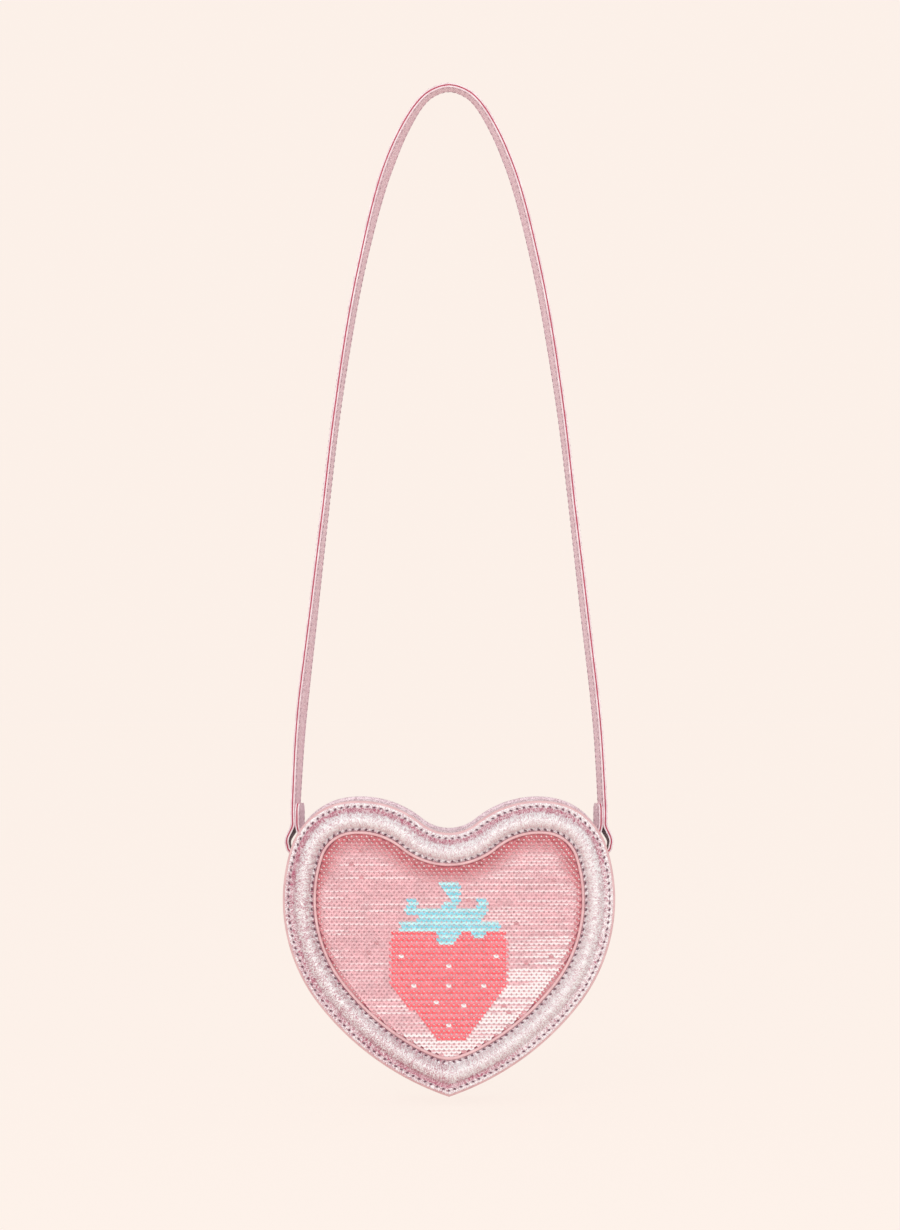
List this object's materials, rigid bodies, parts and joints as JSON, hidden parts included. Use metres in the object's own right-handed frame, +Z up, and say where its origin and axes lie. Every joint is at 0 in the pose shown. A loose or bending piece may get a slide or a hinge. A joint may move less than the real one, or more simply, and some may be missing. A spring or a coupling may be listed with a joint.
{
  "type": "purse",
  "caption": "Heart shaped crossbody purse with a padded foil-leather frame, a sequin window, a zipped gusset and a long flat strap looped on two rings.",
  "frame": {"origin": "where the strap rests on a shoulder or a hook: the middle of the underside of its crown", "axes": "+Z up along the hanging purse, the sequin front faces -Y, +X to the right as seen from the front"},
  "size_m": [0.166, 0.0539, 0.5092],
  "materials": {
    "foil_leather": "crinkled pale pink foil",
    "pale_piping": "smooth pale pink",
    "red_core": "matt red cut edge",
    "foam": "soft foam",
    "sequins": "glossy overlapping discs, rose with a red and aqua strawberry",
    "sequin_cloth": "fine knitted mesh",
    "board": "stiff bag board",
    "lining": "plain woven lining",
    "zip_tape": "woven tape",
    "zip_teeth": "moulded teeth",
    "gold_metal": "pale gold plate"
  },
  "bodies": {
    "strap": {"strap_outer_ply": "foil_leather", "strap_core": "red_core", "strap_inner_ply": "foil_leather"},
    "purse": {"front_frame": "foil_leather", "frame_foam": "foam", "front_welt": "pale_piping", "window_welt": "pale_piping", "sequin_field": "sequins", "sequin_cloth": "sequin_cloth", "front_board": "board", "front_lining": "lining", "back_panel": "foil_leather", "back_board": "board", "back_lining": "lining", "back_welt": "foil_leather", "gusset_band": "foil_leather", "gusset_lining": "lining", "mouth_strip_front": "foil_leather", "mouth_strip_back": "foil_leather", "zip_tape_front": "zip_tape", "zip_tape_back": "zip_tape", "zip_teeth_front": "zip_teeth", "zip_teeth_back": "zip_teeth", "zip_top_stops": "gold_metal", "zip_bottom_stop": "gold_metal", "zip_end_left": "foil_leather", "zip_end_right": "foil_leather", "tab_left": "foil_leather", "tab_right": "foil_leather"},
    "left_ring": {"ring_left": "gold_metal"},
    "right_ring": {"ring_right": "gold_metal"},
    "slider": {"zip_slider": "gold_metal"},
    "pull": {"zip_pull": "gold_metal"}
  },
  "joints": [
    {"name": "purse_swing", "type": "hinge", "parent": "strap", "child": "purse", "pos_m": [0, 0, -0.388], "axis": [1, 0, 0], "range_deg": [-20, 20]},
    {"name": "left_ring_turn", "type": "hinge", "parent": "purse", "child": "left_ring", "pos_m": [-0.07806, 0, -0.3915], "axis": [0, 1, 0], "range_deg": [-3, 1.5]},
    {"name": "right_ring_turn", "type": "hinge", "parent": "purse", "child": "right_ring", "pos_m": [0.07806, 0, -0.3915], "axis": [0, 1, 0], "range_deg": [-1.5, 3]},
    {"name": "slider_run", "type": "hinge", "parent": "purse", "child": "slider", "pos_m": [0.04401, 0, -0.39665], "axis": [0, -1, 0], "range_deg": [0, 58], "deforming": ["zip_teeth_front", "zip_teeth_back"]},
    {"name": "pull_flip", "type": "hinge", "parent": "slider", "child": "pull", "pos_m": [0.05978, 0, -0.36761], "axis": [0, 1, 0], "range_deg": [0, 170]}
  ]
}
